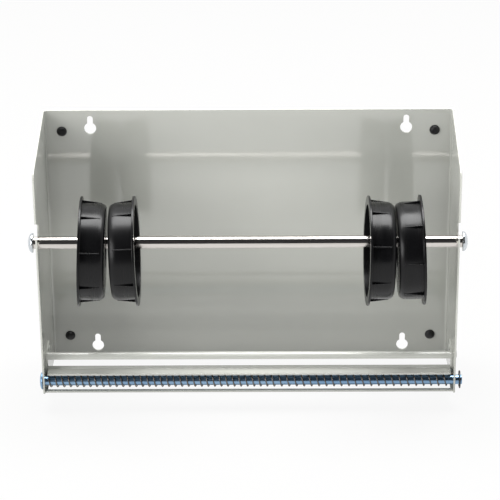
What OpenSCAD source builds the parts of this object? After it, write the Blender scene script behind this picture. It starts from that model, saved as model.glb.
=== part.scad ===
// Wire marker dispenser: a folded sheet tray that hangs on a wall, an axle that drops into
// open slots, four flanged reel hubs on it, and a spring on a pin that grips the marker strips.
// X runs along the axle, +Y points into the wall and +Z up. The origin lies on the back face
// of the tray, in the middle of the four keyholes.

/* [Tray] */
// Outer width over both flanges
tray_w = 338; // [326:1:400]
// Thickness of the sheet
sheet = 1.5; // [1:0.1:2]
// Inside radius of the two upright bends
bend_r = 2; // [1:0.5:4]
// Height of the back plate
plate_h = 228; // [222:1:250]
// Reach of a flange at its top front corner
flange_reach = 106.5; // [104:0.5:115]
// Top front corner of a flange below the plate's top edge
flange_fall = 13; // [4:1:26]
// Radius of the top front corner
flange_top_r = 6; // [2:0.5:10]
// Flange in front of the pin's middle line
flange_past_pin = 7; // [6:0.5:12]
// Flange below the pin's middle line
flange_below_pin = 9; // [8.8:0.1:12]
// Radius of the bottom front corner
flange_foot_r = 2; // [1:0.5:3]

/* [Keyholes] */
// Distance from a flange's inner face to the middle of a keyhole
key_inset = 37.5; // [34:0.5:66]
// Middle of the upper entries below the plate's top edge
key_below_top = 16; // [15:0.5:24]
// Middle of the lower entries above the plate's bottom edge
key_above_foot = 12; // [9:0.5:16]
// Diameter of the round entry
key_d = 9.8; // [8:0.1:12]
// Width of the slot above the entry
key_slot_w = 4.7; // [4:0.1:6]
// Rise from the middle of the entry to the middle of the slot's round end
key_rise = 8.5; // [7:0.1:10]

/* [Bumpers] */
// Distance from a flange's inner face to the middle of a bumper
bumper_inset = 14; // [11:0.5:18]
// Upper bumpers below the plate's top edge
bumper_below_top = 18.5; // [12:0.5:30]
// Lower bumpers above the plate's bottom edge
bumper_above_foot = 21.5; // [12:0.5:32]
// Neck diameter
bumper_neck_d = 6; // [5:0.1:7]
// Diameter of the bulb inside the tray
bumper_bulb_d = 8.4; // [7.8:0.1:10]
// Height of the bulb above the plate
bumper_bulb_h = 3; // [2:0.1:4]
// Diameter of the foot against the wall
bumper_foot_d = 14; // [11:0.5:16]
// Height of the foot
bumper_foot_h = 6; // [4:0.5:8]

/* [Axle] */
// Rod diameter
rod_d = 10; // [8:0.1:12]
// Length of rod that stands out of each flange
rod_overhang = 3; // [1.5:0.5:5]
// The rod's middle line behind the top front corner of the flanges
rod_behind_front = 16.5; // [15.5:0.5:22.5]
// Height of the rod's middle line above the origin
rod_up = 37; // [30:0.5:44]
// Gap between the rod and its seat, and between a hub and the rod it hangs on
seat_gap = 0.3; // [0.2:0.05:0.5]
// Top of the lip above the rod's middle line
lip_rise = 8.7; // [7:0.1:10]
// Height of the mouth over the lip
mouth_h = 13.8; // [13:0.1:18]
// Top of the slot's upright rear wall above the rod's middle line
slot_rear_rise = 13.5; // [12:0.1:16]
// Radius of the slot's rear corner
slot_corner_r = 3; // [1:0.5:5]

/* [End screws] */
// Head diameter
screw_head_d = 16; // [12:0.5:18]
// Head height
screw_head_h = 4.2; // [3:0.1:5]
// Thread diameter
screw_d = 6; // [4:0.5:6]
// Length of thread in the rod
screw_l = 16; // [10:1:20]
// Length of a slot of the cross recess
recess_l = 7.5; // [5:0.5:9]
// Width of a slot of the cross recess
recess_w = 1.4; // [1:0.1:2]
// Depth of the cross recess
recess_depth = 2; // [1:0.1:2.4]

/* [Reel hubs] */
// Flange diameter
hub_flange_d = 88.5; // [84:0.5:96]
// Flange thickness
hub_flange_t = 1.8; // [1.2:0.1:2.4]
// Outer diameter of the shell that carries a reel's core
hub_shell_d = 78.5; // [74:0.5:80]
// Wall of the shell
hub_wall = 2; // [1.5:0.1:3]
// Length of a hub from flange to nose
hub_len = 21; // [18:0.5:26]
// Length of the rounded nose
nose_len = 7; // [4:0.5:8]
// Radial depth of the rounded nose
nose_drop = 3.6; // [2:0.1:5]
// Thickness of the web at the nose
web_t = 2.2; // [1.6:0.1:3]
// Bore of the web, by which the hub hangs on the rod
hub_bore_d = 27; // [22:0.5:30]
// Number of clamping ribs round the shell
rib_count = 8; // [4:1:10]
// Height of a rib at the flange
rib_h = 1.9; // [1:0.1:2]
// Thickness of a rib
rib_t = 1; // [0.6:0.1:1.6]
// End of a rib behind the nose of the hub
rib_to_nose = 3.7; // [3.2:0.1:8]
// Where the noses of the left pair meet, in from the left flange
pair_left_inset = 55.7; // [45.5:0.1:107]
// Where the noses of the right pair meet, in from the right flange
pair_right_inset = 49.5; // [45.5:0.1:107]
// Gap between the two noses of the left pair where they are closest
nose_gap_left = 1.9; // [0.3:0.1:3]
// Gap between the two noses of the right pair where they are closest
nose_gap_right = 0.3; // [0.3:0.1:3]

/* [Front rail] */
// Front face of the rail behind the pin's middle line
rail_behind_pin = 7; // [6.4:0.1:9]
// Top of the rail above the pin's middle line
rail_above_pin = 20.5; // [19:0.5:24]
// Underside of the rail below the pin's middle line
rail_below_pin = 8.6; // [8:0.1:8.7]
// Front edge of the lip before the pin's middle line
lip_past_pin = 5; // [4:0.1:5.8]
// Depth of the lip
lip_depth = 3.5; // [2:0.1:4]
// Depth of the folded top
rail_top_depth = 4.7; // [4.2:0.1:8]
// Inside bend radius of the rail
rail_bend_r = 1.5; // [0.8:0.1:2]
// Height of the upper bar
upper_bar_h = 4.9; // [4.2:0.1:6]
// Gap between the spring and the hood bent forward over it
hood_gap = 0.6; // [0.3:0.1:1.2]
// Front edge of the hood before the pin's middle line
hood_past_pin = 3; // [0:0.5:4]
// Height of the middle bar from the top of the hood to the upper window
middle_bar_h = 1.8; // [1:0.1:2.6]
// Width of the sheet beside the windows
rail_margin = 2; // [1.8:0.1:5]
// Height of the side tabs
tab_h = 15; // [13:0.5:18]
// Top of the side tabs above the top of the rail
tab_rise = 0; // [0:0.25:3]
// Side tab behind the middle line of the rear rivet
tab_past_rivet = 5.5; // [5:0.5:9]

/* [Rivets] */
// Shank diameter
rivet_d = 4; // [3:0.1:5]
// Outer head diameter
rivet_head_d = 9.5; // [7:0.1:10]
// Outer head height
rivet_head_h = 2.5; // [1:0.1:3]
// Diameter of the set head inside
rivet_set_d = 6.5; // [5.6:0.1:8]
// Height of the set head
rivet_set_h = 0.8; // [0.8:0.1:2]
// Distance between the two rivets of one side
rivet_pitch = 12; // [10:0.5:13]
// Gap between the rail's folded top and the set head of the front rivet
rivet_gap = 0.55; // [0.3:0.05:1.5]
// Middle line of the rivets below the top of the side tabs
rivet_below_top = 5; // [4.5:0.1:7]

/* [Grip pin] */
// Pin diameter
pin_d = 8; // [6.6:0.1:8.6]
// The pin's middle line behind the top front corner of the flanges
pin_behind_front = 17; // [12.5:0.5:20.5]
// The pin's middle line above the plate's bottom edge
pin_above_foot = 24; // [20:0.5:32]
// Head diameter
pin_head_d = 14.5; // [11:0.1:16]
// Head height
pin_head_h = 2.7; // [2:0.1:4]
// Gap between the flange and the clip on the other end
pin_play = 3.3; // [0.5:0.1:5]
// Length of pin past the clip
pin_tail = 1.4; // [0.8:0.1:3]
// Depth of the clip's groove
groove_depth = 1; // [0.5:0.1:1.4]
// Thickness of the clip
clip_t = 1.1; // [0.8:0.1:1.4]
// Outer diameter of the clip
clip_d = 14.7; // [13:0.1:16]
// Width of the clip's ring
clip_band = 2.3; // [1.4:0.1:2.6]

/* [Grip spring] */
// Wire diameter
wire_d = 1; // [0.8:0.1:1.4]
// Gap between the wire and the pin
coil_gap = 0.5; // [0.3:0.05:0.6]
// Curls in the closer left stretch
curls_left = 34; // [20:1:40]
// Curls in the wider right stretch
curls_right = 24; // [16:1:40]
// Where the wider stretch starts, in from the right flange
wide_stretch = 149.5; // [128:0.5:187]

/* [Hidden] */
$fn = 64;

over = 1;
run_gap = 0.05;
face_gap = 0.3;
head_edge = 0.7;
arc_steps = 6;
sides = [-1, 1];

half_w = tray_w / 2;
inner_x = half_w - sheet;
key_dz = plate_h - key_below_top - key_above_foot;
plate_top = key_dz / 2 + key_below_top;
plate_drop = key_dz / 2 + key_above_foot;
flange_top = plate_top - flange_fall;
bumper_up = plate_top - bumper_below_top;
bumper_drop = plate_drop - bumper_above_foot;
pin_drop = plate_drop - pin_above_foot;
pin_reach = flange_reach - pin_behind_front;
rod_reach = flange_reach - rod_behind_front;
foot_reach = pin_reach + flange_past_pin;
foot_drop = pin_drop + flange_below_pin;

rod_half = half_w + rod_overhang;
rod_clear_r = rod_d / 2 + seat_gap;
rod_chamfer = 0.6;

hub_up = rod_up - (hub_bore_d / 2 - rod_d / 2 - seat_gap);
hub_r = hub_shell_d / 2;
nose_r = hub_r - nose_drop;
nose_steps = 8;
pair_left_x = pair_left_inset - inner_x;
pair_right_x = inner_x - pair_right_inset;
// Each loose hub's lean about Y, turn about Z and first rib in degrees, from left to right
hub_leans = [2.2, -1.8, 1.4, -1.8];
hub_turns = [0.8, 0.3, 1.6, 1.3];
rib_angles = [22.2, 26.4, 28.5, 7.6];
function tilt_shift(i) = nose_r * sin(acos(cos(hub_leans[i]) * cos(hub_turns[i])));

rail_reach = pin_reach - rail_behind_pin;
rail_top = rail_above_pin - pin_drop;
rail_foot = -pin_drop - rail_below_pin;
lip_reach = pin_reach + lip_past_pin;
window_top = rail_top - upper_bar_h;
hood_top = -pin_drop + pin_d / 2 + coil_gap + wire_d + hood_gap + sheet;
window_h = window_top - middle_bar_h - hood_top;
window_x = inner_x - rail_margin;
tab_top = rail_top + tab_rise;
rivet_z = tab_top - rivet_below_top;
front_rivet_y = -rail_reach + rail_top_depth + rivet_gap + rivet_set_d / 2;
rivet_y = [front_rivet_y, front_rivet_y + rivet_pitch];

head_x = -half_w - face_gap;
clip_x = half_w + pin_play;
groove_r = pin_d / 2 - groove_depth;
groove_side_gap = 0.1;
prong_w = 2.6;
prong_angles = [0, 110, -110];
clip_snap = 0.6;
clip_turn = 75;

coil_r = pin_d / 2 + coil_gap + wire_d / 2;
wire_sides = 6;
rings_per_curl = 8;
wire_bend_r = 1.3;
wire_bend_steps = 4;
first_curl_turn = 108;
tiny = 0.01;

function unit(v) = v / norm(v);
function flip(list) = [for (i = [len(list) - 1 : -1 : 0]) list[i]];

// Points of the arc that rounds the corner at q between p and r
function corner(p, q, r, radius) =
    let (a = unit(p - q), b = unit(r - q), half = acos(a * b) / 2,
         mid = q + unit(a + b) * radius / sin(half),
         from = q + a * radius / tan(half) - mid, to = q + b * radius / tan(half) - mid)
    [for (i = [0 : arc_steps]) mid + radius * unit(from * (arc_steps - i) + to * i)];

// A domed head for turning: its outer line, from the rim of its flat underside to its top
function dome_line(r, h, edge) = concat([[r, 0]], [for (i = [0 : arc_steps])
    [r * cos(90 * i / arc_steps), edge + (h - edge) * sin(90 * i / arc_steps)]]);
module dome(r, h, edge) polygon(concat([[0, 0]], dome_line(r, h, edge)));

// A profile drawn in Y and Z, extruded along X from x0 to x1
module along_x(x0, x1) translate([x0, 0, 0]) rotate([90, 0, 90]) linear_extrude(x1 - x0) children();

// An outline turned round the X axis, with its height along +X
module turned_x() rotate([0, 90, 0]) rotate_extrude() children();

// A plain rod along X
module rod_x(d, x0, x1) translate([x0, 0, 0]) rotate([0, 90, 0]) cylinder(d = d, h = x1 - x0);

// Children as drawn for the right side, or mirrored for the left one
module to_side(s) mirror([s < 0 ? 1 : 0, 0, 0]) children();

// The tray seen from above: a U with two rounded corners against the wall
module rounded_u(w, back, front, r) {
    translate([-w / 2 + r, front]) square([w - 2 * r, back - front]);
    translate([-w / 2, front]) square([w, back - r - front]);
    for (s = sides) translate([s * (w / 2 - r), back - r]) circle(r);
}
module tray_plan() difference() {
    rounded_u(tray_w, 0, -flange_reach, bend_r + sheet);
    rounded_u(tray_w - 2 * sheet, -sheet, -flange_reach - over, bend_r);
}

// The tray seen from the side
plate_head = [0, plate_top];
plate_foot = [0, -plate_drop];
top_corner = [-flange_reach, flange_top];
foot_corner = [-foot_reach, -foot_drop];
module tray_side() polygon(concat(
    [plate_foot, [over, -plate_drop], [over, plate_top], plate_head],
    corner(plate_head, top_corner, foot_corner, flange_top_r),
    corner(top_corner, foot_corner, plate_foot, flange_foot_r)));

// The axle's open slot: a round seat, a ramp that rises from it to the lip, and a rear wall
function front_edge(z) =
    [-foot_reach - (flange_reach - foot_reach) * (z + foot_drop) / (flange_top + foot_drop), z];
seat = [-rod_reach, rod_up];
lip = front_edge(rod_up + lip_rise);
mouth_top = front_edge(rod_up + lip_rise + mouth_h);
to_lip = lip - seat;
ramp_angle = atan2(to_lip[1], -to_lip[0]) + asin(rod_clear_r / norm(to_lip));
ramp_start = seat - rod_clear_r * [sin(ramp_angle), cos(ramp_angle)];
rear_wall_foot = seat + [rod_clear_r, 0];
rear_wall_head = seat + [rod_clear_r, slot_rear_rise];
past_edge = [-2 * over, 0];
module axle_slot() {
    translate(seat) circle(rod_clear_r);
    polygon(concat([seat, rear_wall_foot],
                   corner(rear_wall_foot, rear_wall_head, mouth_top, slot_corner_r),
                   [mouth_top, mouth_top + past_edge, lip + past_edge, lip, ramp_start]));
}
echo(axle_leaves_along = [0, -cos(ramp_angle), sin(ramp_angle)]);

// Holes in the back plate, drawn in X and Z
module keyhole() {
    circle(d = key_d);
    translate([0, key_rise]) circle(d = key_slot_w);
    translate([-key_slot_w / 2, 0]) square([key_slot_w, key_rise]);
}
module plate_holes() for (s = sides) {
    for (z = [-key_dz / 2, key_dz / 2]) translate([s * (inner_x - key_inset), z]) keyhole();
    for (z = [-bumper_drop, bumper_up])
        translate([s * (inner_x - bumper_inset), z]) circle(d = bumper_neck_d + 2 * run_gap);
}

// Holes for the rivets and the pin run through both flanges
module rivet_holes() for (y = rivet_y) translate([0, y, rivet_z])
    rod_x(rivet_d + 2 * run_gap, -half_w - over, half_w + over);
module at_pin() translate([0, -pin_reach, -pin_drop]) children();

module tray() color("gainsboro") difference() {
    intersection() {
        translate([0, 0, -plate_drop - over])
            linear_extrude(plate_top + plate_drop + 2 * over) tray_plan();
        along_x(-half_w - over, half_w + over) tray_side();
    }
    translate([0, over, 0]) rotate([90, 0, 0]) linear_extrude(sheet + 2 * over) plate_holes();
    along_x(-half_w - over, half_w + over) axle_slot();
    at_pin() rod_x(pin_d + 2 * run_gap, -half_w - over, half_w + over);
    rivet_holes();
}

// A bent strip of sheet seen from the side, drawn round its middle line with rounded bends
function bent_line(pts) = concat([pts[0]],
    [for (i = [1 : len(pts) - 2]) each corner(pts[i - 1], pts[i], pts[i + 1], rail_bend_r + sheet / 2)],
    [pts[len(pts) - 1]]);
function side_step(line, i) =
    let (d = unit(line[min(i + 1, len(line) - 1)] - line[max(i - 1, 0)]))
    [-d[1], d[0]] * sheet / 2;
function strip(line) = concat(
    [for (i = [0 : len(line) - 1]) line[i] + side_step(line, i)],
    [for (i = [len(line) - 1 : -1 : 0]) line[i] - side_step(line, i)]);

// The rail: folded top, face and lip. The hood is the lower window's sheet, bent forward
rail_mid_y = -rail_reach + sheet / 2;
rail_line = bent_line([[rail_top_depth - rail_reach, rail_top - sheet / 2],
                       [rail_mid_y, rail_top - sheet / 2],
                       [rail_mid_y, rail_foot + sheet / 2],
                       [-lip_reach, rail_foot + sheet / 2]]);
hood_line = bent_line([[rail_mid_y, window_top],
                       [rail_mid_y, hood_top - sheet / 2],
                       [-pin_reach - hood_past_pin, hood_top - sheet / 2]]);

module upper_window() translate([-window_x, -rail_reach - over, window_top - window_h])
    cube([2 * window_x, sheet + 2 * over, window_h]);
module lower_window() translate([-window_x, -lip_reach + lip_depth, rail_foot - over])
    cube([2 * window_x, lip_reach - lip_depth - rail_reach + sheet + over, hood_top - rail_foot + over]);
module front_rail() color("whitesmoke") difference() {
    union() {
        difference() {
            along_x(-inner_x, inner_x) polygon(strip(rail_line));
            lower_window();
        }
        along_x(-window_x, window_x) polygon(strip(hood_line));
        for (x = [-inner_x, inner_x - sheet]) translate([x, rail_mid_y, tab_top - tab_h])
            cube([sheet, rivet_y[1] + tab_past_rivet - rail_mid_y, tab_h]);
    }
    upper_window();
    rivet_holes();
}

module rivet(s, i) color("lightgray") to_side(s)
    translate([half_w, rivet_y[i], rivet_z]) turned_x() {
        dome(rivet_head_d / 2, rivet_head_h, head_edge);
        translate([0, -2 * sheet - rivet_set_h]) square([rivet_set_d / 2, rivet_set_h]);
        translate([0, -2 * sheet - rivet_set_h / 2])
            square([rivet_d / 2, 2 * sheet + rivet_set_h]);
    }
module rivet_left_front() rivet(-1, 0);
module rivet_left_rear() rivet(-1, 1);
module rivet_right_front() rivet(1, 0);
module rivet_right_rear() rivet(1, 1);

// The axle: a rod with a tapped hole and a screw in each end
module at_axle() translate([0, -rod_reach, rod_up]) children();
module rod_outline() polygon([[0, -rod_half], [rod_d / 2 - rod_chamfer, -rod_half],
    [rod_d / 2, -rod_half + rod_chamfer], [rod_d / 2, rod_half - rod_chamfer],
    [rod_d / 2 - rod_chamfer, rod_half], [0, rod_half]]);
module axle_rod() color("silver") at_axle() difference() {
    turned_x() rod_outline();
    for (s = sides) to_side(s)
        rod_x(screw_d + 2 * run_gap, rod_half - screw_l - over, rod_half + over);
}
module axle_screw(s) color("lightsteelblue") at_axle() to_side(s)
    translate([rod_half, 0, 0]) difference() {
        turned_x() {
            dome(screw_head_d / 2, screw_head_h, head_edge);
            translate([0, -screw_l]) square([screw_d / 2, screw_l + screw_head_h / 2]);
        }
        for (a = [0, 90]) rotate([a, 0, 0])
            translate([screw_head_h - recess_depth, -recess_l / 2, -recess_w / 2])
                cube([recess_depth + over, recess_l, recess_w]);
    }
module axle_screw_left() axle_screw(-1);
module axle_screw_right() axle_screw(1);

// A hub drawn for turning, with its nose at zero and its flange below
function nose_curve(r, len) = [for (i = [0 : nose_steps])
    [r - nose_drop * (1 - cos(90 * i / nose_steps)), len * (sin(90 * i / nose_steps) - 1)]];
module hub_outline() polygon(concat(
    [[hub_bore_d / 2, 0], [hub_bore_d / 2, -web_t]],
    [for (p = flip(nose_curve(hub_r - hub_wall, nose_len - web_t))) [p[0], p[1] - web_t]],
    [[hub_r - hub_wall, -hub_len], [hub_flange_d / 2, -hub_len],
     [hub_flange_d / 2, -hub_len + hub_flange_t], [hub_r, -hub_len + hub_flange_t]],
    nose_curve(hub_r, nose_len)));

// A rib at an angle above the horizontal towards the front, falling away from the flange
rib_end = -rib_to_nose;
module rib(angle) rotate([-angle, 0, 0]) translate([0, 0, -rib_t / 2]) linear_extrude(rib_t)
    polygon([[hub_flange_t / 2 - hub_len, hub_wall / 2 - hub_r],
             [hub_flange_t / 2 - hub_len, -hub_r - rib_h],
             [hub_flange_t - hub_len, -hub_r - rib_h],
             [rib_end, -hub_r], [rib_end, hub_wall / 2 - hub_r]]);

// Hub i, whose nose points to one side and keeps its share of the gap to its neighbour's nose
module reel_hub(i, nose_side, pair_x, gap) color("dimgray")
    translate([pair_x - nose_side * (gap / 2 + tilt_shift(i)), -rod_reach, hub_up])
        rotate([0, hub_leans[i], hub_turns[i]]) to_side(nose_side) {
            turned_x() hub_outline();
            for (n = [0 : rib_count - 1]) rib(rib_angles[i] + n * 360 / rib_count);
        }
module reel_hub_1() reel_hub(0, 1, pair_left_x, nose_gap_left);
module reel_hub_2() reel_hub(1, -1, pair_left_x, nose_gap_left);
module reel_hub_3() reel_hub(2, 1, pair_right_x, nose_gap_right);
module reel_hub_4() reel_hub(3, -1, pair_right_x, nose_gap_right);

// The pin: a shank with a groove for the clip near its right end, and a round head on its left end
pin_end_x = clip_x + clip_t + pin_tail;
groove_left = clip_x - groove_side_gap;
groove_right = clip_x + clip_t + groove_side_gap;
module pin_outline() polygon(
    [[0, head_x], [pin_d / 2, head_x], [pin_d / 2, groove_left], [groove_r, groove_left],
     [groove_r, groove_right], [pin_d / 2, groove_right], [pin_d / 2, pin_end_x], [0, pin_end_x]]);
module grip_pin() color("lightsteelblue") at_pin() turned_x() pin_outline();
module grip_pin_head() color("lightsteelblue") at_pin() to_side(-1)
    translate([-head_x, 0, 0]) turned_x() dome(pin_head_d / 2, pin_head_h, head_edge);

// An open ring whose three prongs reach into the pin's groove
prong_r = groove_r + run_gap;
mouth_w = 2 * groove_r - clip_snap;
module clip_shape() difference() {
    union() {
        difference() {
            circle(d = clip_d);
            circle(clip_d / 2 - clip_band);
        }
        for (a = prong_angles) rotate(a) translate([0, -prong_w / 2])
            square([clip_d / 2 - clip_band / 2, prong_w]);
    }
    circle(prong_r);
    translate([-clip_d, -mouth_w / 2]) square([clip_d, mouth_w]);
}
module pin_clip() color("black") at_pin()
    along_x(clip_x, clip_x + clip_t) rotate(clip_turn) clip_shape();

// The spring: one unbroken wire whose curls follow a formula, and whose straight ends meet
// the inner faces of the flanges squarely. Curls are counted by n from the left.
curl_count = curls_left + curls_right;
curl_start = -inner_x + wire_d + wire_bend_r;
curl_end = inner_x - wire_d - wire_bend_r;
pitch_change_x = inner_x - wide_stretch;
function curl_x(n) = n < curls_left
    ? curl_start + (pitch_change_x - curl_start) * n / curls_left
    : pitch_change_x + (curl_end - pitch_change_x) * (n - curls_left) / curls_right;
function out_dir(n) = let (a = 360 * n - first_curl_turn) [0, -cos(a), -sin(a)];
function curl_point(n) = [curl_x(n), 0, 0] + coil_r * out_dir(n);
function curl_dir(n) = unit(curl_point(n + tiny) - curl_point(n - tiny));
// The way from the last curl to the flange: a bend into the line of the axis, then straight
function wire_end(n, way) =
    let (go = way * curl_dir(n), dir = [way, 0, 0], turn = acos(go * dir),
         side = unit(dir - go * (go * dir)),
         bend = [for (i = [1 : wire_bend_steps]) let (a = turn * i / wire_bend_steps)
                 curl_point(n) + wire_bend_r * (sin(a) * go + (1 - cos(a)) * side)],
         last = bend[wire_bend_steps - 1])
    concat(bend, [[way * inner_x, last[1], last[2]]]);
ring_total = curl_count * rings_per_curl;
curl_points = [for (i = [0 : ring_total]) curl_point(i / rings_per_curl)];
wire_line = concat(flip(wire_end(0, -1)), curl_points, wire_end(curl_count, 1));
end_rings = wire_bend_steps + 1;
function ring_out(i) = out_dir(min(max(i - end_rings, 0), ring_total) / rings_per_curl);
function ring_dir(i) = i < 2 || i > len(wire_line) - 3
    ? [1, 0, 0]
    : unit(wire_line[i + 1] - wire_line[i - 1]);
function ring(i) = let (up = ring_out(i), across = unit(cross(ring_dir(i), up)))
    [for (k = [0 : wire_sides - 1]) let (a = 360 * (k + 0.5) / wire_sides)
        wire_line[i] + wire_d / 2 * (cos(a) * up + sin(a) * across)];
module wire() {
    last_ring = (len(wire_line) - 1) * wire_sides;
    points = [for (i = [0 : len(wire_line) - 1]) each ring(i)];
    walls = [for (i = [0 : wire_sides : last_ring - 1], k = [0 : wire_sides - 1])
        let (a = i + k, b = i + (k + 1) % wire_sides)
        each [[a, a + wire_sides, b], [b, a + wire_sides, b + wire_sides]]];
    ends = [for (k = [1 : wire_sides - 2])
        each [[0, k, k + 1], [last_ring, last_ring + k + 1, last_ring + k]]];
    polyhedron(points, concat(walls, ends));
}
echo(spring_gap_to_itself = min([for (i = [0 : ring_total - 1],
    j = [i + rings_per_curl / 2 : 1 : min(i + 2 * rings_per_curl, ring_total)])
    norm(curl_points[i] - curl_points[j])]) - wire_d);
module grip_spring() color("tan") at_pin() wire();

// A push-in bumper: a foot against the wall, a neck in the plate and a bulb inside the tray
bulb_edge = 0.4;
foot_edge = 1;
module bumper(s, z) color("black") translate([s * (inner_x - bumper_inset), 0, z])
    rotate([90, 0, 0]) rotate_extrude() {
        translate([0, sheet]) dome(bumper_bulb_d / 2, bumper_bulb_h, bulb_edge);
        translate([0, -over]) square([bumper_neck_d / 2, sheet + 2 * over]);
        polygon([[0, -bumper_foot_h], [bumper_foot_d / 2 - foot_edge, -bumper_foot_h],
                 [bumper_foot_d / 2, foot_edge - bumper_foot_h], [bumper_foot_d / 2, 0], [0, 0]]);
    }
module bumper_upper_left() bumper(-1, bumper_up);
module bumper_upper_right() bumper(1, bumper_up);
module bumper_lower_left() bumper(-1, -bumper_drop);
module bumper_lower_right() bumper(1, -bumper_drop);

tray();
front_rail();
rivet_left_front();
rivet_left_rear();
rivet_right_front();
rivet_right_rear();
axle_rod();
axle_screw_left();
axle_screw_right();
reel_hub_1();
reel_hub_2();
reel_hub_3();
reel_hub_4();
grip_pin();
grip_pin_head();
pin_clip();
grip_spring();
bumper_upper_left();
bumper_upper_right();
bumper_lower_left();
bumper_lower_right();
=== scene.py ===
import math

import bmesh
import bpy
from mathutils import Matrix, Vector


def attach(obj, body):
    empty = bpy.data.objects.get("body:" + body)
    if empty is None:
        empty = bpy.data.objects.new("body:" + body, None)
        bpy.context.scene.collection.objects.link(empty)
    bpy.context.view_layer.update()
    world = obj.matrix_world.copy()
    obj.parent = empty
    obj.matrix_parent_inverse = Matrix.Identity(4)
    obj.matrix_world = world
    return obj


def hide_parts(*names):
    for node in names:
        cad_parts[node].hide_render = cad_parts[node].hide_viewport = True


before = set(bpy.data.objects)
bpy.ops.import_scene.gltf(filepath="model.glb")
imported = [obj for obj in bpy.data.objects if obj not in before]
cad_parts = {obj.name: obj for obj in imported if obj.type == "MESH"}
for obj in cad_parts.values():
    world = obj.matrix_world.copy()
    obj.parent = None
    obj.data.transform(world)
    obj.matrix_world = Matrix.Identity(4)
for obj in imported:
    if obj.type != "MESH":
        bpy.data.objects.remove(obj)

bpy.context.view_layer.update()

# Sizes of the part in millimetres, the same as in the CAD source
MM = 0.001
INNER_X = 167.5
HALF_W = 169.0
SHEET = 1.5
ROD_R, ROD_HALF, ROD_CHAMFER, ROD_EASE = 5.0, 172.0, 0.6, 0.15
TAP_R, TAP_DEPTH, TAP_EASE = 3.05, 16.0, 0.1
AXLE_Y, AXLE_Z = -90.0, 37.0
HUB_Z = 28.8
HUB_R, HUB_WALL, HUB_LEN = 39.25, 2.0, 21.0
HUB_FLANGE_R, HUB_FLANGE_T = 44.25, 1.8
NOSE_LEN, NOSE_DROP, WEB_T, BORE_R = 7.0, 3.6, 2.2, 13.5
BORE_EASE, MOUTH_EASE, FLANGE_EASE, ROOT_EASE = 0.4, 0.3, 0.45, 0.5
RIB_COUNT, RIB_H, RIB_T, RIB_TO_NOSE = 8, 1.9, 1.0, 3.7
RIB_EASE, RIB_EASE_MID = 0.3, 0.3
PIN_Y, PIN_Z, PIN_R = -89.5, -88.0, 4.0
PIN_HEAD_R, PIN_HEAD_H, PIN_HEAD_EDGE, PIN_HEAD_X = 7.25, 2.7, 0.7, -169.3
CLIP_X, CLIP_T, GROOVE_R, GROOVE_GAP, PIN_END_X = 172.3, 1.1, 3.0, 0.1, 174.8
WIRE_R, COIL_R = 0.5, 5.0
CURLS_LEFT, CURLS_RIGHT, PITCH_CHANGE_X = 34, 24, 18.0
WIRE_BEND_R, FIRST_CURL_TURN = 1.3, 108.0
BUMPER_X, BUMPER_Z_UP, BUMPER_Z_DOWN = 153.5, 97.5, -90.5
BUMPER_BULB_R, BUMPER_BULB_H, BUMPER_NECK_R = 4.2, 3.0, 3.0
BUMPER_CROWN_R, BUMPER_CROWN_FROM, BUMPER_COLLAR_H = 3.7, 0.95, 0.75
BUMPER_FOOT_R, BUMPER_FOOT_H = 7.0, 6.0
RIVET_Y, RIVET_Z = (-74.0, -62.0), -72.5
RIVET_R, RIVET_HEAD_R, RIVET_HEAD_H, RIVET_HEAD_EDGE = 2.0, 4.75, 2.5, 0.5
RIVET_SET_R, RIVET_SET_H = 3.25, 0.8

# Widths of the broken edges in millimetres, and how sharp in degrees an edge has to be
TRAY_EDGE, RAIL_EDGE, CLIP_EDGE, SCREW_EDGE = 0.30, 0.28, 0.12, 0.15
SHARP, SCREW_SHARP = 28.0, 35.0

# Sides of a turned piece: the hubs, the rod and the pin, and the rivets and bumpers
HUB_SIDES, BAR_SIDES, SMALL_SIDES = 144, 96, 48

# Points nearer than this are one point, and radii below the other lie on the axis; the weld is
# in metres. The weight decides how far the large faces set the shading.
SAME_POINT, ON_AXIS, WELD = 1e-9, 1e-6, 1e-6
NORMAL_WEIGHT = 80

# Hubs: the middle of the pair on X, the gap between its noses, the way the nose points,
# and the lean about Y, the turn about Z and the first rib in degrees
HUBS = {
    "reel_hub_1": (-111.8, 1.9, 1, 2.2, 0.8, 22.2),
    "reel_hub_2": (-111.8, 1.9, -1, -1.8, 0.3, 26.4),
    "reel_hub_3": (118.0, 0.3, 1, 1.4, 1.6, 28.5),
    "reel_hub_4": (118.0, 0.3, -1, -1.8, 1.3, 7.6),
}

# Camera, fitted to the photograph
CAMERA_PLACE = Vector((0.02396, -1.91758, 0.87313))
CAMERA_YAW, CAMERA_PITCH, CAMERA_ROLL = -0.695, -24.765, -0.512
FOCAL_PX, FRAME_PX, SENSOR_MM = 2508.4, 500, 36.0

# Light: each lamp's watts, size and place in metres, and the point it faces
AMBIENT, AMBIENT_COLOUR = 0.62, (0.97, 0.985, 1.0, 1)
OVERHEAD = (49.0, (1.7, 0.8), (0.0, 0.22, 1.36), (0, -0.04, 0))
KEY = (26.0, (1.2, 1.2), (-1.6, -1.45, 0.75), (0, -0.03, 0.02))
BOUNCE = (6.4, (1.6, 0.4), (0.0, -0.45, -0.108), (0, -0.45, 1))

# Floor, and a dark card arched over the front from one angle to another, in metres and degrees
FLOOR_Z, FLOOR_SIZE, FLOOR_COLOUR = -0.1121, 9.0, (0.42, 0.415, 0.405, 1)
FLOOR_WHITE_SEEN, FLOOR_WHITE_MIRRORED = 0.90, 0.80
CARD_RADIUS, CARD_HALF_X, CARD_FROM, CARD_TO = 2.6, 3.5, -3.0, 84.0
CARD_COLOUR, CARD_ROUGHNESS = (0.03, 0.03, 0.032, 1), 0.9
WHITE = (1, 1, 1, 1)


# ---------------------------------------------------------------- meshes

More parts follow.
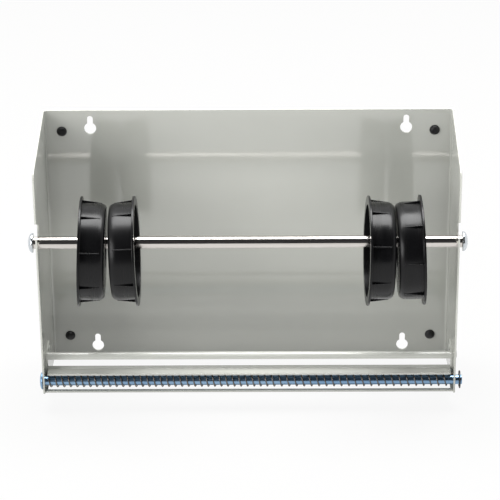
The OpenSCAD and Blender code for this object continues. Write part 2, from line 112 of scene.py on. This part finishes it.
def make(name, verts, faces):
    """A new smooth object of vertices in millimetres, with clean outward normals."""
    mesh = bpy.data.meshes.new(name)
    mesh.from_pydata([tuple(c * MM for c in v) for v in verts], [], faces)
    bm = bmesh.new()
    bm.from_mesh(mesh)
    bmesh.ops.recalc_face_normals(bm, faces=bm.faces)
    bm.to_mesh(mesh)
    bm.free()
    obj = bpy.data.objects.new(name, mesh)
    bpy.context.scene.collection.objects.link(obj)
    mesh.polygons.foreach_set("use_smooth", [True] * len(mesh.polygons))
    crisp = obj.modifiers.new("crisp", "WEIGHTED_NORMAL")
    crisp.keep_sharp = False
    crisp.weight = NORMAL_WEIGHT
    return obj


def joined(parts):
    """Vertices and faces of several (verts, faces) lists as one."""
    verts, faces = [], []
    for v, f in parts:
        base = len(verts)
        verts += v
        faces += [[i + base for i in face] for face in f]
    return verts, faces


def eased(points, radii, steps=4):
    """A closed outline with each corner rounded by its own radius; 0 leaves a corner as it is."""
    out = []
    count = len(points)
    for i, radius in enumerate(radii):
        p, q, r = (Vector(points[(i + k) % count]) for k in (-1, 0, 1))
        a, b = (p - q), (r - q)
        if radius <= 0 or a.length < SAME_POINT or b.length < SAME_POINT:
            out.append(tuple(q))
            continue
        a, b = a.normalized(), b.normalized()
        half = math.acos(max(-1.0, min(1.0, a.dot(b)))) / 2
        reach = radius / math.tan(half)
        mid = q + (a + b).normalized() * radius / math.sin(half)
        start, end = q + a * reach - mid, q + b * reach - mid
        for k in range(steps + 1):
            way = start.lerp(end, k / steps).normalized() * radius
            out.append(tuple(mid + way))
    return out


def lathe(outline, steps):
    """A closed outline of (x, radius) points turned round the X axis."""
    verts, faces = [], []
    count = len(outline)
    rings = []
    for x, r in outline:
        if r < ON_AXIS:
            rings.append([len(verts)] * steps)
            verts.append((x, 0.0, 0.0))
            continue
        rings.append([len(verts) + k for k in range(steps)])
        for k in range(steps):
            a = 2 * math.pi * k / steps
            verts.append((x, r * math.cos(a), r * math.sin(a)))
    for i in range(count):
        a, b = rings[i], rings[(i + 1) % count]
        for k in range(steps):
            m = (k + 1) % steps
            face = [a[k], a[m], b[m], b[k]]
            face = [v for n, v in enumerate(face) if v not in face[:n]]
            if len(face) > 2:
                faces.append(face)
    return verts, faces


def moved(part, place, lean=0.0, turn=0.0, mirror=False):
    """A part mirrored in X if asked, leaned about Y, turned about Z, then shifted."""
    leaned = Matrix.Rotation(math.radians(lean), 3, "Y")
    both = Matrix.Rotation(math.radians(turn), 3, "Z") @ leaned
    verts, faces = part
    out = []
    for x, y, z in verts:
        v = both @ Vector((-x if mirror else x, y, z)) + Vector(place)
        out.append(tuple(v))
    return out, faces


def faced(part, place, way):
    """A part with its +X put along another direction, then shifted."""
    turn = Vector((1, 0, 0)).rotation_difference(Vector(way)).to_matrix()
    verts, faces = part
    return [tuple(turn @ Vector(v) + Vector(place)) for v in verts], faces


def softened(node, name, width, sharp=SHARP, segments=3):
    """A copy of a CAD node with its sharp edges broken, as paint and pressing leave them."""
    bm = bmesh.new()
    bm.from_mesh(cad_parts[node].data)
    bmesh.ops.remove_doubles(bm, verts=bm.verts, dist=WELD)
    edges = [e for e in bm.edges
             if len(e.link_faces) == 2 and e.calc_face_angle(0.0) > math.radians(sharp)]
    bmesh.ops.bevel(bm, geom=edges, offset=width * MM, offset_type="OFFSET",
                    segments=segments, profile=0.5, affect="EDGES", clamp_overlap=False)
    bm.verts.index_update()
    verts = [tuple(c / MM for c in v.co) for v in bm.verts]
    faces = [[v.index for v in f.verts] for f in bm.faces]
    bm.free()
    return make(name, verts, faces)


def dome_line(r, h, edge, steps=10):
    """Points (x, radius) from the top of a domed head down to its rim, its underside at 0."""
    angles = [math.pi / 2 * k / steps for k in range(steps + 1)]
    return [(edge + (h - edge) * math.cos(a), r * math.sin(a)) for a in angles]


# ---------------------------------------------------------------- materials

def noise(tree, scale, detail, stretch):
    """A noise texture in the piece's own coordinates, in metres, stretched if asked."""
    nodes, links = tree.nodes, tree.links
    coords = nodes.new("ShaderNodeTexCoord")
    mapping = nodes.new("ShaderNodeMapping")
    mapping.inputs["Scale"].default_value = stretch or (1.0, 1.0, 1.0)
    tex = nodes.new("ShaderNodeTexNoise")
    tex.inputs["Scale"].default_value = scale
    tex.inputs["Detail"].default_value = detail
    links.new(coords.outputs["Object"], mapping.inputs["Vector"])
    links.new(mapping.outputs["Vector"], tex.inputs["Vector"])
    return tex.outputs["Fac"]


def spread(tree, value, lo, hi, low=0.3, high=0.7):
    """A value from low to high remapped to lo to hi."""
    node = tree.nodes.new("ShaderNodeMapRange")
    node.inputs["From Min"].default_value = low
    node.inputs["From Max"].default_value = high
    node.inputs["To Min"].default_value = lo
    node.inputs["To Max"].default_value = hi
    tree.links.new(value, node.inputs["Value"])
    return node.outputs["Result"]


def between(tree, value, dark, light):
    """A colour between two, by a value from 0 to 1."""
    node = tree.nodes.new("ShaderNodeMix")
    node.data_type = "RGBA"
    node.inputs["A"].default_value = (*dark, 1)
    node.inputs["B"].default_value = (*light, 1)
    tree.links.new(value, node.inputs["Factor"])
    return node.outputs["Result"]


def bumped(tree, value, height, normal=None):
    """A bump of the given height in metres, on top of another one if given."""
    node = tree.nodes.new("ShaderNodeBump")
    node.inputs["Strength"].default_value = 1.0
    node.inputs["Distance"].default_value = height
    tree.links.new(value, node.inputs["Height"])
    if normal is not None:
        tree.links.new(normal, node.inputs["Normal"])
    return node.outputs["Normal"]


def finish(name, dark, light, tone, rough, bumps, metallic=0.0, gloss=0.5):
    """A material between two colours. Tone, roughness and each bump have a noise of their own,
    given by its scale per metre, detail and stretch. The roughness adds its lowest and highest
    value, and a bump its height in metres."""
    mat = bpy.data.materials.new(name)
    mat.use_nodes = True
    tree = mat.node_tree
    bsdf = tree.nodes["Principled BSDF"]
    bsdf.inputs["Metallic"].default_value = metallic
    bsdf.inputs["Specular IOR Level"].default_value = gloss
    scale, detail, stretch = tone
    fac = spread(tree, noise(tree, scale, detail, stretch), 0.0, 1.0)
    tree.links.new(between(tree, fac, dark, light), bsdf.inputs["Base Color"])
    scale, detail, stretch, lo, hi = rough
    fac = spread(tree, noise(tree, scale, detail, stretch), lo, hi)
    tree.links.new(fac, bsdf.inputs["Roughness"])
    normal = None
    for scale, detail, stretch, height in bumps:
        normal = bumped(tree, noise(tree, scale, detail, stretch), height, normal)
    tree.links.new(normal, bsdf.inputs["Normal"])
    return mat


# Stretches of the noise: drawn marks along X, turned marks round X, and longer patches along X
ALONG_X = (0.02, 1.0, 1.0)
ROUND_X = (1.0, 0.04, 0.04)
PATCHES_ALONG_X = (0.15, 1.0, 1.0)

# The slight waviness and the fine grain of powder coat
COAT_BUMPS = [(300.0, 2.0, None, 0.000008), (2600.0, 1.0, None, 0.000001)]

MATERIALS = {
    "tray_paint": finish("tray_paint", (0.405, 0.412, 0.377), (0.430, 0.436, 0.400),
                         (9.0, 3.0, None), (35.0, 4.0, None, 0.08, 0.12),
                         COAT_BUMPS, gloss=0.95),
    # Painted light: the rail has the tray's own paint, made a little lighter to stand in for the
    # extra light its front face catches
    "rail_paint": finish("rail_paint", (0.422, 0.428, 0.395), (0.446, 0.451, 0.417),
                         (11.0, 3.0, None), (35.0, 4.0, None, 0.07, 0.11),
                         COAT_BUMPS, gloss=0.8),
    "rivet_metal": finish("rivet_metal", (0.43, 0.44, 0.41), (0.47, 0.48, 0.445),
                          (60.0, 3.0, None), (90.0, 4.0, None, 0.14, 0.24),
                          [(700.0, 2.0, None, 0.00002)]),
    "axle_plating": finish("axle_plating", (0.64, 0.605, 0.575), (0.73, 0.70, 0.665),
                           (700.0, 3.0, ALONG_X), (900.0, 3.0, ALONG_X, 0.10, 0.17),
                           [(2600.0, 2.0, ALONG_X, 0.0000012)], metallic=1.0),
    "screw_plating": finish("screw_plating", (0.56, 0.60, 0.63), (0.70, 0.73, 0.76),
                            (260.0, 3.0, None), (400.0, 3.0, None, 0.16, 0.30),
                            [(1500.0, 2.0, None, 0.000004)], metallic=1.0),
    "hub_plastic": finish("hub_plastic", (0.0016, 0.0016, 0.0018), (0.0030, 0.0030, 0.0034),
                          (40.0, 3.0, None), (110.0, 5.0, ROUND_X, 0.19, 0.33),
                          [(160.0, 2.0, None, 0.000016), (2200.0, 2.0, ROUND_X, 0.0000015)],
                          gloss=0.26),
    "pin_plating": finish("pin_plating", (0.20, 0.34, 0.52), (0.30, 0.45, 0.62),
                          (90.0, 3.0, PATCHES_ALONG_X), (600.0, 3.0, ALONG_X, 0.24, 0.34),
                          [(2000.0, 2.0, ALONG_X, 0.000002)], metallic=1.0),
    "clip_finish": finish("clip_finish", (0.014, 0.014, 0.015), (0.028, 0.028, 0.028),
                          (300.0, 3.0, None), (500.0, 3.0, None, 0.30, 0.45),
                          [(1800.0, 2.0, None, 0.000005)], metallic=0.3),
    "spring_wire": finish("spring_wire", (0.12, 0.105, 0.09), (0.24, 0.20, 0.165),
                          (160.0, 3.0, None), (500.0, 3.0, None, 0.24, 0.40),
                          [(2400.0, 2.0, None, 0.000003)], metallic=1.0),
    "bumper_rubber": finish("bumper_rubber", (0.004, 0.004, 0.0045), (0.009, 0.009, 0.0095),
                            (200.0, 3.0, None), (400.0, 3.0, None, 0.30, 0.45),
                            [(1600.0, 3.0, None, 0.000012)], gloss=0.35),
}


def placed(obj, body, slot, *nodes):
    """The piece gets its material, rides on its body and stands for its CAD nodes."""
    obj.data.materials.clear()
    obj.data.materials.append(MATERIALS[slot])
    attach(obj, body)
    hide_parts(*nodes)


# ---------------------------------------------------------------- sheet parts and screws

placed(softened("tray", "tray_skin", TRAY_EDGE), "frame", "tray_paint", "tray")
placed(softened("front_rail", "rail_skin", RAIL_EDGE), "frame", "rail_paint", "front_rail")
placed(softened("pin_clip", "clip_skin", CLIP_EDGE), "pin", "clip_finish", "pin_clip")
for side in ("left", "right"):
    screw = softened("axle_screw_" + side, "screw_" + side, SCREW_EDGE, SCREW_SHARP)
    placed(screw, "axle", "screw_plating", "axle_screw_" + side)


# ---------------------------------------------------------------- turned parts

# Each outline is followed by the radii of its corners
rod = eased([(-ROD_HALF, TAP_R), (-ROD_HALF, ROD_R - ROD_CHAMFER),
             (-ROD_HALF + ROD_CHAMFER, ROD_R), (ROD_HALF - ROD_CHAMFER, ROD_R),
             (ROD_HALF, ROD_R - ROD_CHAMFER), (ROD_HALF, TAP_R),
             (ROD_HALF - TAP_DEPTH, TAP_R), (ROD_HALF - TAP_DEPTH, 0),
             (-ROD_HALF + TAP_DEPTH, 0), (-ROD_HALF + TAP_DEPTH, TAP_R)],
            [TAP_EASE, ROD_EASE, ROD_EASE, ROD_EASE, ROD_EASE, TAP_EASE, 0, 0, 0, 0])
placed(make("rod_skin", *moved(lathe(rod, BAR_SIDES), (0, AXLE_Y, AXLE_Z))),
       "axle", "axle_plating", "axle_rod")

head = [(PIN_HEAD_X - x, r) for x, r in dome_line(PIN_HEAD_R, PIN_HEAD_H, PIN_HEAD_EDGE)]
shank = eased([(PIN_HEAD_X, PIN_HEAD_R), (PIN_HEAD_X, PIN_R), (CLIP_X - GROOVE_GAP, PIN_R),
               (CLIP_X - GROOVE_GAP, GROOVE_R), (CLIP_X + CLIP_T + GROOVE_GAP, GROOVE_R),
               (CLIP_X + CLIP_T + GROOVE_GAP, PIN_R), (PIN_END_X, PIN_R), (PIN_END_X, 0)],
              [0, 0.2, 0.1, 0.1, 0.1, 0.1, 0.5, 0])
placed(make("pin_skin", *moved(lathe(head + shank, BAR_SIDES), (0, PIN_Y, PIN_Z))),
       "pin", "pin_plating", "grip_pin", "grip_pin_head")

for side, sign in (("left", -1), ("right", 1)):
    for row, y in zip(("front", "rear"), RIVET_Y):
        inside = -2 * SHEET
        line = dome_line(RIVET_HEAD_R, RIVET_HEAD_H, RIVET_HEAD_EDGE) + eased(
            [(0, RIVET_HEAD_R), (0, RIVET_R), (inside, RIVET_R), (inside, RIVET_SET_R),
             (inside - RIVET_SET_H, RIVET_SET_R), (inside - RIVET_SET_H, 0)],
            [0, 0, 0, 0.15, 0.6, 0])
        part = moved(lathe(line, SMALL_SIDES), (sign * HALF_W, y, RIVET_Z), mirror=sign < 0)
        name = "rivet_%s_%s" % (side, row)
        placed(make(name + "_skin", *part), "frame", "rivet_metal", name)

for row, z in (("upper", BUMPER_Z_UP), ("lower", BUMPER_Z_DOWN)):
    for side, sign in (("left", -1), ("right", 1)):
        collar = SHEET + BUMPER_COLLAR_H
        crown = dome_line(BUMPER_CROWN_R, BUMPER_BULB_H, BUMPER_CROWN_FROM)
        line = [(SHEET + x, r) for x, r in crown] + eased(
            [(collar, BUMPER_CROWN_R), (collar, BUMPER_BULB_R), (SHEET, BUMPER_BULB_R),
             (SHEET, BUMPER_NECK_R), (0, BUMPER_NECK_R), (0, BUMPER_FOOT_R),
             (-BUMPER_FOOT_H, BUMPER_FOOT_R), (-BUMPER_FOOT_H, 0)],
            [0.1, 0.25, 0.15, 0, 0, 0.3, 1.0, 0])
        part = faced(lathe(line, SMALL_SIDES), (sign * BUMPER_X, 0, z), (0, -1, 0))
        name = "bumper_%s_%s" % (row, side)
        placed(make(name + "_skin", *part), "frame", "bumper_rubber", name)


# ---------------------------------------------------------------- reel hubs

def nose_curve(r, length, steps=12):
    """The shell's curve towards the nose, as points (x, radius) that end at x = 0."""
    angles = [math.pi / 2 * k / steps for k in range(steps + 1)]
    return [(length * (math.sin(a) - 1), r - NOSE_DROP * (1 - math.cos(a))) for a in angles]


def hub_outline():
    """The hub's section, with its nose at zero and its flange at minus its length."""
    inner = nose_curve(HUB_R - HUB_WALL, NOSE_LEN - WEB_T)
    inner = [(x - WEB_T, r) for x, r in reversed(inner)]
    outer = nose_curve(HUB_R, NOSE_LEN)
    points = [(0, BORE_R), (-WEB_T, BORE_R)] + inner + [
        (-HUB_LEN, HUB_R - HUB_WALL), (-HUB_LEN, HUB_FLANGE_R),
        (-HUB_LEN + HUB_FLANGE_T, HUB_FLANGE_R), (-HUB_LEN + HUB_FLANGE_T, HUB_R)] + outer
    radii = [BORE_EASE, BORE_EASE] + [0.0] * len(inner)
    radii += [MOUTH_EASE, FLANGE_EASE, FLANGE_EASE, ROOT_EASE] + [0.0] * len(outer)
    return eased(points, radii)


def rib(angle):
    """A clamping rib at an angle above the horizontal towards the front, its edges broken."""
    top, low = HUB_R + RIB_H, HUB_R - HUB_WALL / 2
    side = [(HUB_FLANGE_T / 2 - HUB_LEN, low), (HUB_FLANGE_T / 2 - HUB_LEN, top),
            (HUB_FLANGE_T - HUB_LEN, top), (-RIB_TO_NOSE, HUB_R), (-RIB_TO_NOSE, low)]
    half, mid = RIB_T / 2, RIB_EASE * RIB_EASE_MID
    layers = [(-half, RIB_EASE), (-half + mid, mid), (-half + RIB_EASE, 0.0),
              (half - RIB_EASE, 0.0), (half - mid, mid), (half, RIB_EASE)]
    verts = [(x, -(r if r == low else r - inset), w) for w, inset in layers for x, r in side]
    count, last = len(side), len(layers) - 1
    faces = []
    for n in range(last):
        for i in range(count):
            a, b = n * count + i, n * count + (i + 1) % count
            faces.append([a, b, b + count, a + count])
    faces += [list(range(count)), list(range(last * count, (last + 1) * count))]
    turn = Matrix.Rotation(math.radians(-angle), 3, "X")
    return [tuple(turn @ Vector(v)) for v in verts], faces


for name, (pair_x, gap, way, lean, turn, first) in HUBS.items():
    tilt = math.acos(math.cos(math.radians(lean)) * math.cos(math.radians(turn)))
    nose_x = pair_x - way * (gap / 2 + (HUB_R - NOSE_DROP) * math.sin(tilt))
    parts = [lathe(hub_outline(), HUB_SIDES)]
    parts += [rib(first + 360 / RIB_COUNT * i) for i in range(RIB_COUNT)]
    part = moved(joined(parts), (nose_x, AXLE_Y, HUB_Z), lean, turn, mirror=way < 0)
    placed(make(name + "_skin", *part), name, "hub_plastic", name)


# ---------------------------------------------------------------- spring

CURL_START = -INNER_X + 2 * WIRE_R + WIRE_BEND_R
CURL_END = INNER_X - 2 * WIRE_R - WIRE_BEND_R
CURLS = CURLS_LEFT + CURLS_RIGHT


def curl_x(n):
    """Where the wire is along X after n curls."""
    if n < CURLS_LEFT:
        return CURL_START + (PITCH_CHANGE_X - CURL_START) * n / CURLS_LEFT
    return PITCH_CHANGE_X + (CURL_END - PITCH_CHANGE_X) * (n - CURLS_LEFT) / CURLS_RIGHT


def curl_out(n):
    """The way from the pin's middle line out to the wire after n curls."""
    a = 2 * math.pi * n - math.radians(FIRST_CURL_TURN)
    return Vector((0, -math.cos(a), -math.sin(a)))


def curl_point(n):
    """The wire's middle line after n curls."""
    return Vector((curl_x(n), 0, 0)) + COIL_R * curl_out(n)


def wire_end(n, way, steps=10):
    """From the last curl to the flange: a bend into the line of the axis, then straight."""
    near = 0.001
    go = way * (curl_point(n + near) - curl_point(n - near)).normalized()
    straight = Vector((way, 0, 0))
    turn = go.angle(straight)
    side = (straight - go * go.dot(straight)).normalized()
    angles = [turn * i / steps for i in range(1, steps + 1)]
    bend = [curl_point(n) + WIRE_BEND_R * (math.sin(a) * go + (1 - math.cos(a)) * side)
            for a in angles]
    return bend + [Vector((way * INNER_X, bend[-1].y, bend[-1].z))]


def spring(rings=28, sides=14):
    """The wire with so many rings of vertices a curl, and so many sides."""
    total = CURLS * rings
    start = list(reversed(wire_end(0, -1)))
    line = start + [curl_point(i / rings) for i in range(total + 1)] + wire_end(CURLS, 1)
    verts, faces = [], []
    for i, p in enumerate(line):
        before, after = line[max(i - 1, 0)], line[min(i + 1, len(line) - 1)]
        at_end = i < 2 or i > len(line) - 3
        along = Vector((1, 0, 0)) if at_end else (after - before).normalized()
        out = curl_out(min(max(i - len(start), 0), total) / rings)
        across = along.cross(out).normalized()
        up = across.cross(along).normalized()
        for k in range(sides):
            a = 2 * math.pi * k / sides
            verts.append(tuple(p + WIRE_R * (math.cos(a) * up + math.sin(a) * across)))
    for i in range(len(line) - 1):
        for k in range(sides):
            m = (k + 1) % sides
            faces.append([i * sides + k, i * sides + m, (i + 1) * sides + m, (i + 1) * sides + k])
    faces += [list(range(sides)), list(range(len(verts) - sides, len(verts)))]
    return verts, faces


placed(make("spring_skin", *moved(spring(), (0, PIN_Y, PIN_Z))),
       "frame", "spring_wire", "grip_spring")


# ---------------------------------------------------------------- studio

def staged(name, verts, faces):
    """A piece of the studio, of vertices in metres."""
    mesh = bpy.data.meshes.new(name)
    mesh.from_pydata(verts, [], faces)
    obj = bpy.data.objects.new(name, mesh)
    bpy.context.scene.collection.objects.link(obj)
    return obj


def white_when_seen(tree, plain, white, output, seen, mirrored):
    """Mixes the plain shader with the white one, by one share for rays of the camera and
    refracted ones, and by another for mirrored ones."""
    path = tree.nodes.new("ShaderNodeLightPath")
    total = None
    shares = (("Is Camera Ray", seen), ("Is Transmission Ray", seen), ("Is Glossy Ray", mirrored))
    for ray, share in shares:
        part = tree.nodes.new("ShaderNodeMath")
        part.operation = "MULTIPLY_ADD"
        part.inputs[1].default_value = share
        part.inputs[2].default_value = 0.0
        tree.links.new(path.outputs[ray], part.inputs[0])
        if total is not None:
            tree.links.new(total, part.inputs[2])
        total = part.outputs[0]
    mix = tree.nodes.new("ShaderNodeMixShader")
    tree.links.new(total, mix.inputs[0])
    tree.links.new(plain, mix.inputs[1])
    tree.links.new(white, mix.inputs[2])
    tree.links.new(mix.outputs[0], output.inputs["Surface"])


world = bpy.data.worlds.new("studio")
bpy.context.scene.world = world
world.use_nodes = True
tree = world.node_tree
ambient = tree.nodes["Background"]
ambient.inputs["Color"].default_value = AMBIENT_COLOUR
ambient.inputs["Strength"].default_value = AMBIENT
white = tree.nodes.new("ShaderNodeBackground")
white.inputs["Color"].default_value = WHITE
white.inputs["Strength"].default_value = 1.0
white_when_seen(tree, ambient.outputs[0], white.outputs[0], tree.nodes["World Output"], 1.0, 1.0)

far = FLOOR_SIZE / 2
floor = staged("floor", [(-far, -far, 0), (far, -far, 0), (far, far, 0), (-far, far, 0)],
               [[0, 1, 2, 3]])
floor.location = (0, 0, FLOOR_Z)
paper = bpy.data.materials.new("paper")
paper.use_nodes = True
tree = paper.node_tree
tree.nodes.remove(tree.nodes["Principled BSDF"])
matt = tree.nodes.new("ShaderNodeBsdfDiffuse")
matt.inputs["Color"].default_value = FLOOR_COLOUR
glow = tree.nodes.new("ShaderNodeEmission")
glow.inputs["Color"].default_value = WHITE
glow.inputs["Strength"].default_value = 1.0
white_when_seen(tree, matt.outputs[0], glow.outputs[0], tree.nodes["Material Output"],
                FLOOR_WHITE_SEEN, FLOOR_WHITE_MIRRORED)
floor.data.materials.append(paper)


def arch(name, steps=30):
    """A card arched round the X axis, over the front of the object."""
    verts = []
    for i in range(steps + 1):
        a = math.radians(CARD_FROM + (CARD_TO - CARD_FROM) * i / steps)
        y, z = -CARD_RADIUS * math.cos(a), CARD_RADIUS * math.sin(a)
        verts += [(-CARD_HALF_X, y, z), (CARD_HALF_X, y, z)]
    return staged(name, verts, [[2 * i, 2 * i + 1, 2 * i + 3, 2 * i + 2] for i in range(steps)])


# The dark side of the studio, in front and above, which only polish shows
card = arch("dark_card")
for ray in ("camera", "diffuse", "transmission", "volume_scatter", "shadow"):
    setattr(card, "visible_" + ray, False)
black = bpy.data.materials.new("black_card")
black.use_nodes = True
bsdf = black.node_tree.nodes["Principled BSDF"]
bsdf.inputs["Base Color"].default_value = CARD_COLOUR
bsdf.inputs["Roughness"].default_value = CARD_ROUGHNESS
card.data.materials.append(black)


def softbox(name, watts, size, place, target):
    """A rectangular lamp that faces a point."""
    light = bpy.data.lights.new(name, "AREA")
    light.shape = "RECTANGLE"
    light.size, light.size_y = size
    light.energy = watts
    obj = bpy.data.objects.new(name, light)
    obj.location = place
    obj.rotation_euler = (Vector(target) - Vector(place)).to_track_quat("-Z", "Y").to_euler()
    bpy.context.scene.collection.objects.link(obj)
    return obj


softbox("overhead", *OVERHEAD)
softbox("key", *KEY)

# The light that white paper in front of the tray throws up; polish shows the paper itself
bounce = softbox("bounce", *BOUNCE)
for ray in ("camera", "glossy", "transmission"):
    setattr(bounce, "visible_" + ray, False)


# ---------------------------------------------------------------- camera

def photo_camera():
    """The camera of the photograph."""
    yaw, pitch, roll = (math.radians(a) for a in (CAMERA_YAW, CAMERA_PITCH, CAMERA_ROLL))
    flat = math.cos(pitch)
    ahead = Vector((math.sin(yaw) * flat, math.cos(yaw) * flat, math.sin(pitch)))
    right = Vector((math.cos(yaw), -math.sin(yaw), 0))
    up = right.cross(ahead)
    across = right * math.cos(roll) + up * math.sin(roll)
    above = up * math.cos(roll) - right * math.sin(roll)
    data = bpy.data.cameras.new("photo_camera")
    data.sensor_fit = "HORIZONTAL"
    data.sensor_width = SENSOR_MM
    data.lens = SENSOR_MM * FOCAL_PX / FRAME_PX
    obj = bpy.data.objects.new("photo_camera", data)
    turn = Matrix((across, above, -ahead)).transposed().to_4x4()
    obj.matrix_world = Matrix.Translation(CAMERA_PLACE) @ turn
    bpy.context.scene.collection.objects.link(obj)
    bpy.context.scene.camera = obj


photo_camera()
bpy.context.scene.view_settings.view_transform = "Standard"

bpy.context.view_layer.update()
